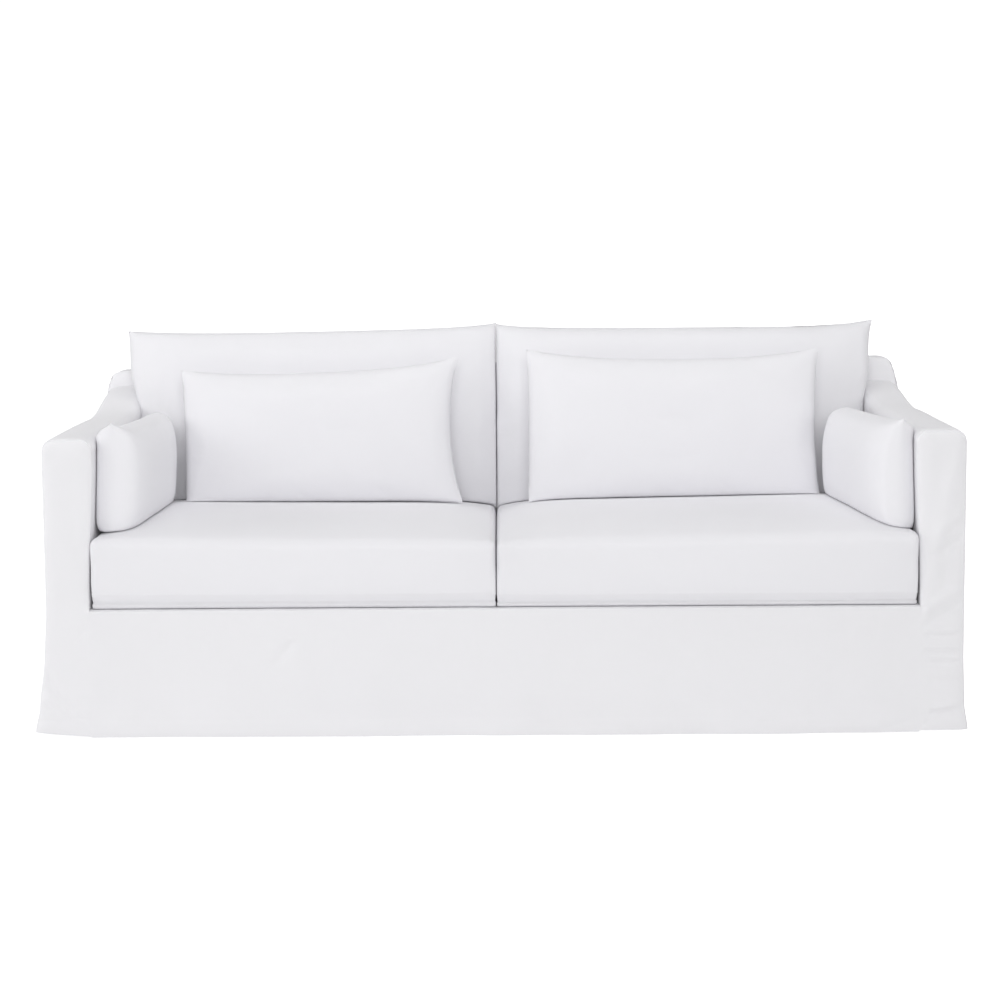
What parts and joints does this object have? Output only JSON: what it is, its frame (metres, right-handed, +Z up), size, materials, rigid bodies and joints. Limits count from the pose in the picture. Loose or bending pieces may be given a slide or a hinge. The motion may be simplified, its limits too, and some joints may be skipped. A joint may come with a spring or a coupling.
{
  "type": "sofa slipcover",
  "caption": "Loose white linen slipcover for a sofa with swooping arms: sewn panels that fall straight to a plain hem, with the matching filled seat, back, lumbar and arm cushions.",
  "frame": {"origin": "on the floor under the middle of the cover", "axes": "+Z up, +X along the cover to the right as seen from its front, -Y towards the front"},
  "size_m": [2.1806, 1.0239, 0.9285],
  "materials": {
    "cover_linen": "matte, fine plain weave, slightly cool white",
    "cushion_linen": "matte, fine plain weave, slightly cool white"
  },
  "bodies": {
    "root": {"front_apron": "cover_linen", "seat_deck": "cover_linen", "inside_back": "cover_linen", "back_top_strip": "cover_linen", "outside_back": "cover_linen", "left_arm_front": "cover_linen", "left_arm_top": "cover_linen", "left_arm_inside": "cover_linen", "left_arm_outside": "cover_linen", "right_arm_front": "cover_linen", "right_arm_top": "cover_linen", "right_arm_inside": "cover_linen", "right_arm_outside": "cover_linen", "left_seat_cushion": "cushion_linen", "left_back_cushion": "cushion_linen", "left_lumbar_pillow": "cushion_linen", "left_side_pillow": "cushion_linen", "right_seat_cushion": "cushion_linen", "right_back_cushion": "cushion_linen", "right_lumbar_pillow": "cushion_linen", "right_side_pillow": "cushion_linen"}
  },
  "joints": []
}
